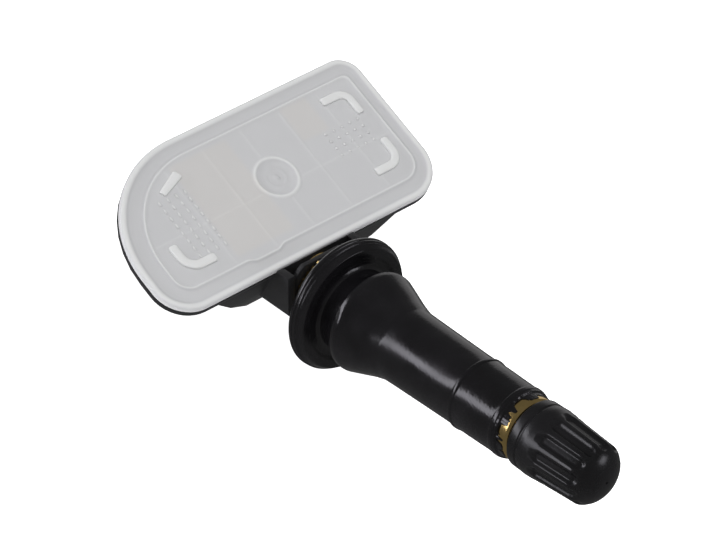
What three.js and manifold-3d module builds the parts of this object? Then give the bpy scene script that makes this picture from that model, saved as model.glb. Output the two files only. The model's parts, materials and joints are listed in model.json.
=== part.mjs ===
// Direct tyre pressure sensor on a snap-in rubber valve, in millimetres, +Z up.
// The housing lies along Y with its welded cover on top, and the valve leaves its long side towards +X,
// tilted up by valveTilt. The origin is below the middle of the whole object, on the surface it lies on.
import * as THREE from 'three';
import { mergeVertices } from 'three/addons/utils/BufferGeometryUtils.js';
import Module from 'manifold-3d';

// ---- driving dimensions -------------------------------------------------------------------------

// housing and cover, seen from above: three round corners and one large sweep. The cover's middle lies
// coverOffset along Y from the plane that the hull, the cell and the valve share.
const housingLength = 50.15;
const coverOffset = 0.43;
const farCornerRadius = 3.4;
const nearCornerRadius = 6.5;
const sweptCornerRadius = 17;
const sweptEndCornerRadius = 5.5;
const coverThickness = 0.62;
const coverReliefHeight = 0.3;
const rimBeadWidth = 1.2;
const sunkBandWidth = 1.7;
const cornerRibWidth = 1.15;
const cornerRibHeight = 0.22;
const cornerRibLength = 4.2;
const gateMarkRadius = 3.3;
const gateMarkWidth = 0.6;
const gateMarkOffset = 2.5;

// hull under the lip
const lipHeight = 1.3;
const lipEdgeHeight = 0.7;
const lipStep = 0.9;
const lipFloor = 0.6;
const lipWall = 1.9;
const hullWall = 1.2;
const hullEndSlope = THREE.MathUtils.degToRad(44.5);
const hullChamferRun = 1.4;
const hullChamferOverCell = 0.85;
const hullSideInset = 0.41;

// parts sealed inside
const boardThickness = 0.6;
const cellRadius = 10;
const cellHeight = 3.2;
const cellStandOff = 4.85;
const cellGapUnderBoard = 2;
const cellSideGap = 0.8;
const cellEndGap = 0.36;
const cellRimGap = 0.9;
const cellLidHeight = 0.5;
const tabThickness = 0.25;
const tabWidth = 4;
const chipSize = 4;
const chipHeight = 1.2;
const portRadius = 0.6;
const portSealWall = 0.9;
const coilLength = 11;
const coilCoreWidth = 2;
const coilCoreHeight = 1.1;
const coilWindingWall = 0.45;
const coilEndLength = 1.5;
const crystalSize = [3.2, 2.5, 0.7];
const capacitorSize = [2, 1.25, 0.8];
const capacitorCount = 4;
const capacitorPitch = 3;
const antennaWire = 0.5;

// valve: every place along its axis is measured from the widest circle of the rubber flange
const valveTilt = THREE.MathUtils.degToRad(25);
const flangeRadius = 10;
const flangeBack = 1;
const flangeFront = 2.1;
const flangeFrontRadius = 9.2;
const seatInnerRadius = 7.9;
const neckRadius = 6;
const neckLength = 3.1;
const bulgeRadius = 7.58;
const bulgeRise = 1.3;
const bulgeTaper = 6;
const barrelRadius = 5.28;
const barrelSwell = 0.22;
const barrelEnd = 35.8;
const barrelRing = 27.1;
const barrelRingHeight = 0.16;

const stemRadius = 3.2;
const stemCollarStep = 0.9;
const stemCollarLength = 1.9;
const threadMajorRadius = 3.85;
const threadDepth = 0.35;
const threadPitch = 25.4 / 32;
const threadLength = 9.1;
const airBore = 1.3;
const crossHoleRadius = 0.7;
const footRadius = 5.5;
const footLength = 4.55;
const footTeeth = 30;
const footToothDepth = 0.35;
const footGrooveDepth = 0.9;
const footGrooveWidth = 0.9;

const cradleWall = 1.2;
const cradleAbove = 5.4;
const cradleBelow = 1.4;
const cradleStandOff = 2.5;
const cradleCorner = 0.8;

// valve core
const coreTravel = 1;
const corePinRadius = 0.4;
const coreBarrelRadius = 1.4;
const coreBarrelBore = 1;
const coreBarrelLength = 9.8;
const coreSeatHole = 0.65;
const coreSeatLength = 0.8;
const corePlugRadius = 2.4;
const corePlugLength = 4;
const coreGasketLength = 1.9;
const coreGasketRadius = 2.1;
const coreCupRadius = 1.6;
const coreCupLength = 1;
const coreSealLength = 0.8;
const corePinHead = 0.7;
const coreSpringWire = 0.13;
const coreSpringTurns = 7;

// cap
const capLength = 13.94;
const capWall = 1.1;
const capCollarLength = 1.6;
const capSwell = 0.06;
const capTaper = 0.45;
const capDomeHeight = 3.14;
const capFluteCount = 12;
const capFluteRadius = 0.95;
const capFluteDepth = 0.42;
const capFluteStart = 4.4;
const capSealThickness = 0.8;
const capSealHole = 1.6;

// clearances
const bondGap = 0.1;
const slotGap = 0.3;
const runningGap = 0.15;
const threadGap = 0.14;

const roundSegments = 36;
const smallSegments = 20;
const threadSegments = 20;

// ---- places worked out from the sizes -------------------------------------------------------------

const cellBottom = cellStandOff;
const cellTop = cellBottom + cellHeight;
const boardBottom = cellTop + cellGapUnderBoard;
const boardTop = boardBottom + boardThickness;
const lipBottom = boardBottom - bondGap / 2 - lipFloor;
const lipTop = lipBottom + lipHeight;
const coverBottom = lipTop + bondGap;
const bandTop = coverBottom + coverThickness;
const coverTop = bandTop + coverReliefHeight;
const wallFace = cellRadius + cellSideGap + hullWall;
const housingWidth = (wallFace + hullSideInset) * 2;

const cradleFront = -flangeBack - cradleStandOff;
const footFront = -flangeBack - slotGap;
const footBack = footFront - footLength;
const footGrooveAt = (cradleFront + footBack) / 2;
const collarStart = barrelEnd + bondGap * 2;
const stemCollarRadius = threadMajorRadius + stemCollarStep;
const threadStart = collarStart + stemCollarLength;
const stemTip = threadStart + threadLength;
const capStart = threadStart + slotGap;
const capTip = capStart + capLength;
const capCollarRadius = threadMajorRadius + threadGap + capWall;
const capRadius = capCollarRadius + capSwell;
const capShoulderRadius = capRadius - capTaper;

// the flange's lowest point lies on the same surface as the hull's floor
const flangeHeight = flangeRadius * Math.cos(valveTilt);
// the upper edge of the foot's back just clears the rim of the cover
const flangeX = housingWidth / 2 + bondGap - footBack * Math.cos(valveTilt) + footRadius * Math.sin(valveTilt);

// ---- helpers ------------------------------------------------------------------------------------------

const wasm = await Module();
wasm.setup();

// A closed three.js geometry as a solid that can be joined and cut
function solid(geometry) {
  const bare = geometry.clone();
  bare.deleteAttribute('normal');
  bare.deleteAttribute('uv');
  const merged = mergeVertices(bare, 1e-4);
  const index = merged.index.array;
  const triangles = [];
  for (let i = 0; i < index.length; i += 3) {
    const [a, b, c] = [index[i], index[i + 1], index[i + 2]];
    if (a !== b && b !== c && c !== a) triangles.push(a, b, c);
  }
  return new wasm.Manifold(new wasm.Mesh({
    numProp: 3,
    vertProperties: new Float32Array(merged.attributes.position.array),
    triVerts: new Uint32Array(triangles),
  }));
}

// A solid as a three.js geometry
function shapeOf(body) {
  const mesh = body.getMesh();
  const geometry = new THREE.BufferGeometry();
  geometry.setAttribute('position', new THREE.BufferAttribute(new Float32Array(mesh.vertProperties), 3));
  geometry.setIndex(new THREE.BufferAttribute(new Uint32Array(mesh.triVerts), 1));
  return geometry;
}

// A profile of [radius, z] points, going up its outside, turned about Z
function turned(profile, segments = roundSegments) {
  const points = profile.map(([radius, z]) => new THREE.Vector2(radius, z));
  return new THREE.LatheGeometry(points, segments).rotateX(Math.PI / 2);
}

// A ring of rectangular section about Z
function ring(inner, outer, bottom, top, segments = roundSegments) {
  return turned([[inner, bottom], [outer, bottom], [outer, top], [inner, top], [inner, bottom]], segments);
}

function rod(radius, bottom, top, segments = roundSegments) {
  return turned([[0, bottom], [radius, bottom], [radius, top], [0, top]], segments);
}

function block(sizeX, sizeY, sizeZ, x, y, bottom) {
  return new THREE.BoxGeometry(sizeX, sizeY, sizeZ).translate(x, y, bottom + sizeZ / 2);
}

function polygon(points) {
  return new THREE.Shape(points.map(([x, y]) => new THREE.Vector2(x, y)));
}

function slab(shape, bottom, top, curveSegments = 5) {
  return new THREE.ExtrudeGeometry(shape, { depth: top - bottom, bevelEnabled: false, curveSegments })
    .translate(0, 0, bottom);
}

// The plan outline of the housing, moved inwards by inset
function outline(inset) {
  const x = housingWidth / 2 - inset;
  const high = coverOffset + housingLength / 2 - inset;
  const low = coverOffset - housingLength / 2 + inset;
  const near = Math.max(nearCornerRadius - inset, 0.3);
  const far = Math.max(farCornerRadius - inset, 0.3);
  const swept = sweptCornerRadius - inset;
  const sweptEnd = Math.max(sweptEndCornerRadius - inset, 0.3);
  const shape = new THREE.Shape();
  shape.absarc(x - near, high - near, near, 0, Math.PI / 2);
  shape.absarc(-x + far, high - far, far, Math.PI / 2, Math.PI);
  shape.absarc(-x + swept, low + swept, swept, Math.PI, Math.PI * 1.5);
  shape.absarc(x - sweptEnd, low + sweptEnd, sweptEnd, Math.PI * 1.5, Math.PI * 2);
  shape.closePath();
  return shape;
}

// A full rod with a helical thread cut in it, longer than the stretch asked for
function threadedRod(from, to, crestRadius) {
  const rootRadius = crestRadius - threadDepth;
  const section = [[-0.13, crestRadius], [0.13, crestRadius], [0.4, rootRadius], [0.6, rootRadius]];
  const turns = Math.ceil((to - from) / threadPitch) + 3;
  const rows = turns * section.length;
  const positions = [];
  for (let row = 0; row < rows; row += 1) {
    const [share, radius] = section[row % section.length];
    const turn = Math.floor(row / section.length) - 1;
    for (let column = 0; column < threadSegments; column += 1) {
      const sweep = column / threadSegments;
      const angle = sweep * Math.PI * 2;
      const z = (Math.floor(from / threadPitch) + turn + share + sweep) * threadPitch;
      positions.push(radius * Math.cos(angle), radius * Math.sin(angle), z);
    }
  }
  const at = (row, column) => row * threadSegments + column;
  const index = [];
  for (let row = 0; row < rows - 1; row += 1) {
    for (let column = 0; column < threadSegments; column += 1) {
      const seam = column === threadSegments - 1;
      const next = seam ? 0 : column + 1;
      const lift = seam ? section.length : 0;
      if (row + lift + 1 > rows - 1) continue;
      index.push(at(row, column), at(row + lift, next), at(row + lift + 1, next));
      index.push(at(row, column), at(row + lift + 1, next), at(row + 1, column));
    }
  }
  const bottomLoop = [];
  const topLoop = [];
  for (let column = 0; column < threadSegments; column += 1) {
    bottomLoop.push(at(0, column));
    topLoop.push(at(rows - 1, column));
  }
  for (let row = section.length; row > 0; row -= 1) {
    bottomLoop.push(at(row, 0));
    topLoop.push(at(rows - 2 - section.length + row, threadSegments - 1));
  }
  for (const [loop, row, down] of [[bottomLoop, 0, true], [topLoop, rows - 1, false]]) {
    const centre = positions.length / 3;
    positions.push(0, 0, positions[at(row, 0) * 3 + 2] + threadPitch / 2);
    loop.forEach((corner, i) => {
      const following = loop[(i + 1) % loop.length];
      index.push(centre, down ? following : corner, down ? corner : following);
    });
  }
  const geometry = new THREE.BufferGeometry();
  geometry.setAttribute('position', new THREE.Float32BufferAttribute(positions, 3));
  geometry.setIndex(index);
  return solid(geometry);
}

const part = new THREE.Group();
const valve = new THREE.Group();
valve.position.set(flangeX, 0, flangeHeight);
valve.rotation.y = Math.PI / 2 - valveTilt;
part.add(valve);

const blackNylon = { color: 0x232426, roughness: 0.55, metalness: 0 };
const clearedNylon = { color: 0xb9bcc0, roughness: 0.45, metalness: 0 };
const brass = { color: 0xc79a3c, roughness: 0.3, metalness: 1 };
const blackRubber = { color: 0x17181b, roughness: 0.6, metalness: 0 };
const steel = { color: 0xb8bbc0, roughness: 0.3, metalness: 1 };

function place(name, geometry, look, parent = part) {
  const mesh = new THREE.Mesh(geometry, new THREE.MeshStandardMaterial(look));
  mesh.name = name;
  parent.add(mesh);
  return mesh;
}

// Turns a solid made on the valve's axis into the housing's frame
function alongValve(body) {
  const matrix = new THREE.Matrix4().makeRotationY(valve.rotation.y).setPosition(valve.position);
  return body.transform(matrix.elements);
}

// ---- housing shell -------------------------------------------------------------------------------------
// Moulded hull with a flat floor, two sloping ends and chamfered long sides, under a lip that carries the
// cover. A cradle on the long side holds the foot of the valve.

function hullBlock(wall, top) {
  const run = 1 / Math.tan(hullEndSlope);
  const cellEnd = cellRadius + cellEndGap + (hullWall - wall) / Math.sin(hullEndSlope);
  const endAt = (z) => cellEnd + (z - cellBottom) * run;
  const side = slab(polygon([[-endAt(wall), wall], [endAt(wall), wall], [endAt(top), top], [-endAt(top), top]]),
    -housingWidth / 2, housingWidth / 2);
  side.rotateX(Math.PI / 2).rotateZ(Math.PI / 2);
  const face = wallFace - wall;
  const foot = face - hullChamferRun;
  const chamferTop = cellBottom + hullChamferOverCell;
  const section = slab(polygon([[-foot, wall], [foot, wall], [face, chamferTop], [face, top],
    [-face, top], [-face, chamferTop]]), -housingLength, housingLength);
  section.rotateX(Math.PI / 2);
  const plan = slab(outline(hullSideInset + wall), -1, top + 1);
  return solid(side).intersect(solid(section)).intersect(solid(plan));
}

function cradle() {
  const slotRadius = footRadius + slotGap;
  const half = slotRadius + cradleWall;
  const corner = cradleCorner;
  const shape = new THREE.Shape();
  shape.moveTo(half, cradleAbove);
  shape.lineTo(-half, cradleAbove);
  shape.absarc(-half + corner, -cradleBelow + corner, corner, Math.PI, Math.PI * 1.5);
  shape.absarc(half - corner, -cradleBelow + corner, corner, Math.PI * 1.5, Math.PI * 2);
  shape.closePath();
  const body = solid(slab(shape, footBack - housingWidth / 2, cradleFront).rotateZ(Math.PI / 2));
  const slotBack = footBack - bondGap;
  const slotFront = cradleFront + 1;
  const slotRound = solid(rod(slotRadius, slotBack, slotFront));
  const slotOpen = solid(block(cradleAbove * 3, slotRadius * 2, slotFront - slotBack,
    -cradleAbove * 1.5, 0, slotBack));
  const ribRadius = footRadius - footGrooveDepth + slotGap;
  const ribHalf = footGrooveWidth / 2 - bondGap;
  const rib = solid(ring(ribRadius, slotRadius + cradleWall / 2, footGrooveAt - ribHalf, footGrooveAt + ribHalf))
    .intersect(body);
  const reach = half * 2;
  const outsideHull = solid(block(reach, reach, flangeHeight * 2, wallFace - hullWall / 2 + reach / 2, 0, 0));
  return alongValve(body.subtract(slotRound).subtract(slotOpen).add(rib)).intersect(outsideHull);
}

const lipOutside = solid(slab(outline(0), lipTop - lipEdgeHeight, lipTop))
  .add(solid(slab(outline(lipStep), lipBottom, lipTop)));
const aboveLip = solid(slab(outline(-bondGap), lipTop, coverTop + cradleAbove));
const boardPocket = solid(slab(outline(lipWall), lipBottom + lipFloor, coverTop));
const portX = -wallFace / 2;
const portY = -(cellRadius + slotGap + portRadius + portSealWall);
const portCut = solid(rod(portRadius, 0, lipTop, smallSegments).translate(portX, portY, 0));
const cradleBody = cradle().subtract(aboveLip);
const shell = hullBlock(0, lipBottom + lipFloor / 2)
  .add(lipOutside)
  .add(cradleBody)
  .subtract(hullBlock(hullWall, lipTop + 1))
  .subtract(boardPocket)
  .subtract(portCut);
place('housing_shell', shapeOf(shell), blackNylon);

// ---- cover plate ----------------------------------------------------------------------------------------
// Natural nylon plate welded on the lip: a rim bead, a sunk band, a raised panel with a round gate mark,
// and one raised rib at each corner of the panel.

const coverSheet = solid(slab(outline(0), coverBottom, bandTop));
const coverBead = solid(slab(outline(0), coverBottom, coverTop))
  .subtract(solid(slab(outline(rimBeadWidth), coverBottom - 1, coverTop + 1)));
const panelInset = rimBeadWidth + sunkBandWidth;
const panel = solid(slab(outline(panelInset), coverBottom, coverTop));
const gateMark = solid(ring(gateMarkRadius - gateMarkWidth, gateMarkRadius, coverBottom,
  coverTop + cornerRibHeight).translate(0, coverOffset + gateMarkOffset, 0));
let cover = coverSheet.add(coverBead).add(panel).add(gateMark);
for (const [endSign, sideSign] of [[1, 1], [1, -1], [-1, 1], [-1, -1]]) {
  const x = sideSign * (housingWidth / 2 - panelInset - cornerRibLength);
  const y = coverOffset + endSign * (housingLength / 2 - panelInset - cornerRibLength);
  const height = coverTop + cornerRibHeight - coverBottom;
  const along = block(cornerRibWidth, cornerRibLength, height, x, y - endSign * cornerRibLength / 2, coverBottom);
  const across = block(cornerRibLength, cornerRibWidth, height, x - sideSign * cornerRibLength / 2, y, coverBottom);
  cover = cover.add(solid(along)).add(solid(across));
}
place('cover_plate', shapeOf(cover), clearedNylon);

// ---- circuit board and what is on it ----------------------------------------------------------------------

const boardInset = lipWall + slotGap;
place('circuit_board', slab(outline(boardInset), boardBottom, boardTop), { color: 0x5c8a3a, roughness: 0.5 });

const chipTop = boardBottom - bondGap;
const chipBottom = chipTop - chipHeight;
place('pressure_sensor_chip', block(chipSize, chipSize, chipHeight, portX, portY, chipBottom),
  { color: 0x1c1c1e, roughness: 0.6 });

// Soft tube that leads air from the port in the hull's sloping end to the chip
const portTube = solid(ring(portRadius, portRadius + portSealWall, hullWall, chipBottom - bondGap, smallSegments)
  .translate(portX, portY, 0)).intersect(hullBlock(hullWall + bondGap, lipTop));
place('port_seal', shapeOf(portTube), { color: 0xd8d8d4, roughness: 0.7 });

const coilY = cellRadius + slotGap + coilCoreWidth / 2 + coilWindingWall;
const coilTop = boardBottom - bondGap - coilWindingWall;
const coilBottom = coilTop - coilCoreHeight;
const coilCore = solid(block(coilLength, coilCoreWidth, coilCoreHeight, 0, coilY, coilBottom));
place('antenna_coil_core', shapeOf(coilCore), { color: 0x3a3a3c, roughness: 0.7 });
const windingLength = coilLength - coilEndLength * 2;
const windingOuter = solid(block(windingLength, coilCoreWidth + coilWindingWall * 2,
  coilCoreHeight + coilWindingWall * 2, 0, coilY, coilBottom - coilWindingWall));
const windingInner = solid(block(coilLength, coilCoreWidth + bondGap * 2, coilCoreHeight + bondGap * 2, 0, coilY,
  coilBottom - bondGap));
place('antenna_coil_winding', shapeOf(windingOuter.subtract(windingInner)), { color: 0xa05a2c, roughness: 0.4 });

const crystalX = wallFace - hullWall - crystalSize[0];
const crystalY = portY + crystalSize[1] * 2;
place('crystal_can', block(...crystalSize, crystalX, crystalY, chipTop - crystalSize[2]), steel);

for (let i = 0; i < capacitorCount; i += 1) {
  const x = portX + chipSize / 2 + capacitorSize[0] + i * capacitorPitch;
  place(`capacitor_${i + 1}`, block(...capacitorSize, x, portY, chipTop - capacitorSize[2]),
    { color: 0xb08a5a, roughness: 0.5 });
}

// Bent wire that radiates the readings, lying in the sloping end of the hull under the board
const antennaReach = wallFace - hullWall - cellRimGap;
const antennaY = coilY + coilCoreWidth / 2 + coilWindingWall + antennaWire;
place('radio_antenna', block(antennaReach * 2, antennaWire, antennaWire, 0, antennaY, chipTop - antennaWire),
  brass);

// ---- battery ------------------------------------------------------------------------------------------------

const canTop = cellTop - cellLidHeight - bondGap;
place('battery_can', rod(cellRadius, cellBottom, canTop), steel);
place('battery_lid', rod(cellRadius - cellRimGap, canTop + bondGap, cellTop), steel);
place('battery_tab_negative', block(cellRadius, tabWidth, tabThickness, 0, 0, cellTop + bondGap), steel);
place('battery_tab_positive', block(tabWidth, cellRadius, tabThickness, 0, 0, cellBottom - bondGap
  - tabThickness), steel);

// ---- brass valve stem -------------------------------------------------------------------------------------------
// Bored shaft with a serrated foot, a polished collar that ends the rubber, and the cap thread.

const coreTop = stemTip - 1.4;
const plugBottom = coreTop - corePlugLength;
const barrelTop = plugBottom - bondGap;
const coreBottom = barrelTop - coreBarrelLength;
const sealUnder = coreBottom - bondGap;
const cupTop = sealUnder - coreSealLength - bondGap;
const cupBottom = cupTop - coreCupLength;
const pinBottom = cupBottom - bondGap - 0.4;
const chamberBottom = pinBottom - coreTravel - 0.8;
const chamberRadius = coreGasketRadius + bondGap;
const plugChamberRadius = corePlugRadius + bondGap;

function valveStem() {
  const shaft = solid(turned([[0, footFront], [stemRadius, footFront], [stemRadius, collarStart],
    [stemCollarRadius - 0.2, collarStart], [stemCollarRadius, collarStart + 0.25],
    [stemCollarRadius, threadStart - 0.3], [stemCollarRadius - 0.3, threadStart], [0, threadStart]]));
  const envelope = solid(turned([[0, threadStart - 0.5], [threadMajorRadius, threadStart - 0.5],
    [threadMajorRadius, stemTip - 0.5], [threadMajorRadius - threadDepth, stemTip], [0, stemTip]]));
  const thread = threadedRod(threadStart - 1, stemTip, threadMajorRadius).intersect(envelope);
  const tooth = Math.PI / footTeeth;
  const toothPoints = [];
  for (let i = 0; i < footTeeth * 2; i += 1) {
    const radius = i % 2 ? footRadius : footRadius - footToothDepth;
    toothPoints.push([radius * Math.cos(i * tooth), radius * Math.sin(i * tooth)]);
  }
  const foot = solid(slab(polygon(toothPoints), footBack, footFront))
    .subtract(solid(ring(footRadius - footGrooveDepth, footRadius + 1, footGrooveAt - footGrooveWidth / 2,
      footGrooveAt + footGrooveWidth / 2)));
  const bore = solid(turned([[0, footBack + footLength / 2], [airBore, footBack + footLength / 2],
    [airBore, chamberBottom], [chamberRadius, chamberBottom + 0.8], [chamberRadius, plugBottom - 0.4],
    [plugChamberRadius, plugBottom], [plugChamberRadius, stemTip + 1], [0, stemTip + 1]], smallSegments));
  const crossHole = solid(rod(crossHoleRadius, -footRadius - 1, footRadius + 1, smallSegments)
    .rotateX(Math.PI / 2).translate(0, 0, footFront - crossHoleRadius * 1.8));
  return shaft.add(thread).add(foot).subtract(bore).subtract(crossHole);
}
place('valve_stem', shapeOf(valveStem()), brass, valve);

// ---- rubber valve body --------------------------------------------------------------------------------------------
// Flange, groove for the edge of the wheel's hole, bulge that snaps through it, and tapering barrel.

const neckEnd = flangeFront + neckLength;
const bulgeAt = neckEnd + bulgeRise;
const taperEnd = bulgeAt + bulgeTaper;
const boreRadius = stemRadius + bondGap;
place('rubber_valve_body', turned([
  [boreRadius, -flangeBack],
  [flangeRadius - 1.1, -flangeBack],
  [flangeRadius - 0.3, -flangeBack + 0.45],
  [flangeRadius, 0],
  [flangeRadius, 0.5],
  [flangeRadius - 0.25, 0.62],
  [flangeRadius - 0.25, 0.78],
  [flangeRadius - 0.05, 0.9],
  [flangeRadius - 0.1, 1.3],
  [flangeFrontRadius + 0.25, flangeFront - 0.3],
  [flangeFrontRadius, flangeFront],
  [seatInnerRadius, flangeFront],
  [seatInnerRadius - 0.45, flangeFront - 0.45],
  [neckRadius + 0.3, flangeFront - 0.45],
  [neckRadius, flangeFront - 0.1],
  [neckRadius, neckEnd],
  [bulgeRadius - 0.3, neckEnd + bulgeRise * 0.6],
  [bulgeRadius, bulgeAt],
  [bulgeRadius - 0.12, bulgeAt + 0.5],
  [barrelRadius + barrelSwell, taperEnd],
  [barrelRadius, barrelRing],
  [barrelRadius + barrelRingHeight, barrelRing + 0.1],
  [barrelRadius + barrelRingHeight, barrelRing + 0.55],
  [barrelRadius, barrelRing + 0.7],
  [barrelRadius, barrelEnd],
  [boreRadius, barrelEnd],
  [boreRadius, -flangeBack],
], roundSegments + 4), blackRubber, valve);

// ---- valve core -------------------------------------------------------------------------------------------------------

function corePlug() {
  const body = solid(turned([[corePinRadius + runningGap, plugBottom], [corePlugRadius - 0.3, plugBottom],
    [corePlugRadius, plugBottom + 0.3], [corePlugRadius, coreTop], [corePinHead + runningGap * 2, coreTop],
    [corePinHead + runningGap * 2, coreTop - coreTravel - 0.3], [corePinRadius + runningGap,
      coreTop - coreTravel - 0.6], [corePinRadius + runningGap, plugBottom]], smallSegments));
  const keyFlat = solid(block(corePlugRadius * 2 + 1, corePlugRadius, 2, 0, corePlugRadius * 1.05, coreTop - 1.4));
  const otherFlat = solid(block(corePlugRadius * 2 + 1, corePlugRadius, 2, 0, -corePlugRadius * 1.05,
    coreTop - 1.4));
  return body.subtract(keyFlat).subtract(otherFlat);
}
place('core_plug', shapeOf(corePlug()), brass, valve);

place('core_barrel', turned([[coreSeatHole, coreBottom], [coreBarrelRadius, coreBottom],
  [coreBarrelRadius, barrelTop], [coreBarrelBore, barrelTop], [coreBarrelBore, coreBottom + coreSeatLength],
  [coreSeatHole, coreBottom + coreSeatLength], [coreSeatHole, coreBottom]], smallSegments), brass, valve);

const gasketTop = barrelTop - 0.6;
const gasketInner = coreBarrelRadius + bondGap;
place('core_gasket', turned([[gasketInner, gasketTop - coreGasketLength], [gasketInner + 0.2,
  gasketTop - coreGasketLength], [coreGasketRadius, gasketTop - 0.4], [coreGasketRadius, gasketTop],
[gasketInner, gasketTop], [gasketInner, gasketTop - coreGasketLength]], smallSegments),
{ color: 0xb8402c, roughness: 0.5 }, valve);

const collarTop = barrelTop - 1;
const collarBottom = collarTop - 0.5;
const headBottom = coreTop + 0.3;
place('core_pin', turned([[0, pinBottom], [corePinRadius + 0.3, pinBottom], [corePinRadius + 0.3,
  cupBottom - bondGap], [corePinRadius, cupBottom - bondGap], [corePinRadius, collarBottom],
[coreBarrelBore - runningGap, collarBottom], [coreBarrelBore - runningGap, collarTop],
[corePinRadius, collarTop], [corePinRadius, headBottom], [corePinHead, headBottom + 0.15],
[corePinHead, stemTip - 0.5], [corePinHead - 0.2, stemTip - 0.3], [0, stemTip - 0.3]], smallSegments),
steel, valve);

const pinHole = corePinRadius + bondGap;
place('core_cup', ring(pinHole, coreCupRadius, cupBottom, cupTop, smallSegments), brass, valve);
place('core_seat_seal', ring(pinHole, coreCupRadius - bondGap, cupTop + bondGap, sealUnder, smallSegments),
  blackRubber, valve);

class Helix extends THREE.Curve {
  constructor(radius, bottom, top, turns) {
    super();
    Object.assign(this, { radius, bottom, top, turns });
  }

  getPoint(t, target = new THREE.Vector3()) {
    const angle = t * this.turns * Math.PI * 2;
    return target.set(this.radius * Math.cos(angle), this.radius * Math.sin(angle),
      THREE.MathUtils.lerp(this.bottom, this.top, t));
  }
}
const springRadius = (corePinRadius + coreBarrelBore) / 2;
const springBottom = coreBottom + coreSeatLength + bondGap + coreSpringWire;
const springTop = collarBottom - bondGap - coreSpringWire;
const springSection = polygon([0, 1, 2, 3, 4, 5].map((i) => [coreSpringWire * Math.cos(i * Math.PI / 3),
  coreSpringWire * Math.sin(i * Math.PI / 3)]));
place('core_spring', new THREE.ExtrudeGeometry(springSection, {
  steps: coreSpringTurns * 10,
  extrudePath: new Helix(springRadius, springBottom, springTop, coreSpringTurns),
}), steel, valve);

// ---- cap and its seal -----------------------------------------------------------------------------------------------------

const sealBack = stemTip + bondGap;
const sealFront = sealBack + capSealThickness;
const capSealRadius = threadMajorRadius - threadDepth;
place('cap_seal', ring(capSealHole, capSealRadius, sealBack, sealFront, smallSegments), blackRubber, valve);

function valveCap() {
  const shoulder = capTip - capDomeHeight;
  const profile = [[0, capStart], [capCollarRadius - 0.25, capStart], [capCollarRadius, capStart + 0.25],
    [capCollarRadius, capStart + capCollarLength], [capRadius - 0.12, capStart + capCollarLength + 0.25],
    [capRadius, capStart + capCollarLength + 0.9]];
  const domeSteps = 8;
  for (let i = 0; i <= domeSteps; i += 1) {
    const angle = (i / domeSteps) * Math.PI / 2;
    profile.push([capShoulderRadius * Math.cos(angle), shoulder + capDomeHeight * Math.sin(angle)]);
  }
  profile[profile.length - 1][0] = 0;
  let body = solid(turned(profile));
  const lean = Math.atan2(capRadius - capShoulderRadius, shoulder - capStart - capCollarLength);
  const fluteLength = capLength - capFluteStart - capDomeHeight;
  for (let i = 0; i < capFluteCount; i += 1) {
    const flute = new THREE.CapsuleGeometry(capFluteRadius, fluteLength, 3, 10).rotateX(Math.PI / 2);
    flute.translate(0, 0, fluteLength / 2).rotateY(-lean);
    flute.translate(capRadius + capFluteRadius - capFluteDepth, 0, capStart + capFluteStart + capFluteRadius);
    body = body.subtract(solid(flute.rotateZ((i + 0.5) * Math.PI * 2 / capFluteCount)));
  }
  const threadTop = stemTip + bondGap;
  const mouth = solid(turned([[0, capStart - 1], [threadMajorRadius + 0.4, capStart - 1],
    [threadMajorRadius + 0.4, capStart + 0.2], [threadMajorRadius, capStart + 0.7], [0, capStart + 0.7]]));
  const threadTrim = solid(rod(capRadius, capStart - 0.5, threadTop));
  const thread = threadedRod(capStart - 1, threadTop, threadMajorRadius + threadGap).intersect(threadTrim);
  const pocket = solid(rod(capSealRadius + bondGap, threadTop - 0.5, sealFront + bondGap, smallSegments));
  const tipRelief = solid(rod(capSealHole, sealFront, sealFront + 1, smallSegments));
  return body.subtract(mouth).subtract(thread).subtract(pocket).subtract(tipRelief);
}
place('valve_cap', shapeOf(valveCap()), blackRubber, valve);

// ---- origin below the middle of the whole object -------------------------------------------------------------------------

part.updateMatrixWorld(true);
const box = new THREE.Box3().setFromObject(part, true);
const middle = box.getCenter(new THREE.Vector3());
part.position.set(-middle.x, -middle.y, -box.min.z);
part.updateMatrixWorld(true);

export default part;
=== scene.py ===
import json
import math

import bmesh
import bpy
from mathutils import Matrix, Vector, geometry, noise


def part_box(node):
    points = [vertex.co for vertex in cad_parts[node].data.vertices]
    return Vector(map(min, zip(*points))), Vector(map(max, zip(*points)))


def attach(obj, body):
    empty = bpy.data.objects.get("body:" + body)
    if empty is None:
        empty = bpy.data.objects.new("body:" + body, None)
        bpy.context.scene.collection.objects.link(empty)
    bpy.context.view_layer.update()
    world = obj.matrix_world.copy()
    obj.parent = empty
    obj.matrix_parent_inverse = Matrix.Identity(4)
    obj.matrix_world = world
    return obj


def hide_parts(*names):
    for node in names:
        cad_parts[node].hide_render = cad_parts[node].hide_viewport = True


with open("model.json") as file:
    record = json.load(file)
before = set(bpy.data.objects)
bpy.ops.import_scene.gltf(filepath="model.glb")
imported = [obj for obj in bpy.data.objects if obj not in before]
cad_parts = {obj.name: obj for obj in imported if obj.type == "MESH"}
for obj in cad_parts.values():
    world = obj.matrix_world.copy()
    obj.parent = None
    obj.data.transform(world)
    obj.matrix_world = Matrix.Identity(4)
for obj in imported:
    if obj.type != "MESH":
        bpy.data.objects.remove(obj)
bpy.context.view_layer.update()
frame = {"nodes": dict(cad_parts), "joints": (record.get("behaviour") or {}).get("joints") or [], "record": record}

MM = 0.001

# ---- Studio ------------------------------------------------------------------------------------
# The sensor lies on a plain white sheet under a wide overhead box and a small key box. A low box draws the
# bright line along the barrel, a side card lights the cap's tip, and a far card shows only as a reflection.
# The camera stands on the cap's side, high above the cover, and is rolled round its own axis.

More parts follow.
